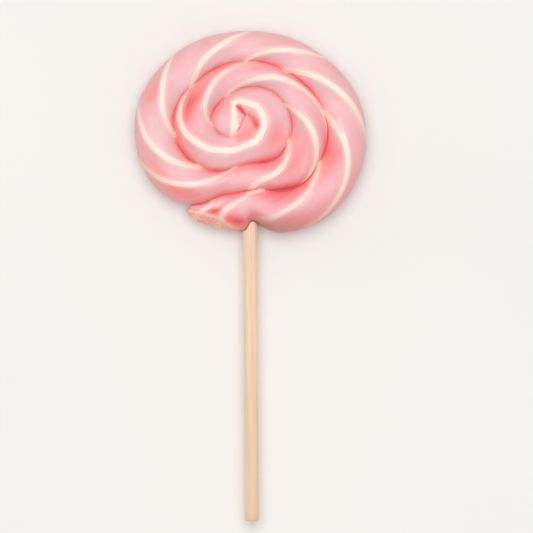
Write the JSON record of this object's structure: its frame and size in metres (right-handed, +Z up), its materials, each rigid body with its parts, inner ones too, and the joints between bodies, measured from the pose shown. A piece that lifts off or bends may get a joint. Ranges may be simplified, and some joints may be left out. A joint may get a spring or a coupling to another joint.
{
  "type": "swirl lollipop",
  "caption": "Flat disc of coiled, twisted pulled candy in pink with cream stripes, on a long round wooden stick; lies on its flat back with the swirl facing up.",
  "frame": {"origin": "middle of the bounding box in plan, on the plane the flat back rests on", "axes": "+Z up, away from the flat back, the way the swirl faces; the stick runs from the candy toward -Y; +X to the right of the swirl seen from above with the stick pointing down"},
  "size_m": [0.076, 0.161, 0.0134],
  "materials": {
    "candy": "satin pulled sugar, pink with cream stripes that follow the twist of the rope",
    "stick_wood": "plain pale birch dowel, unvarnished"
  },
  "bodies": {
    "root": {"candy_coil": "candy", "stick": "stick_wood"}
  },
  "joints": []
}
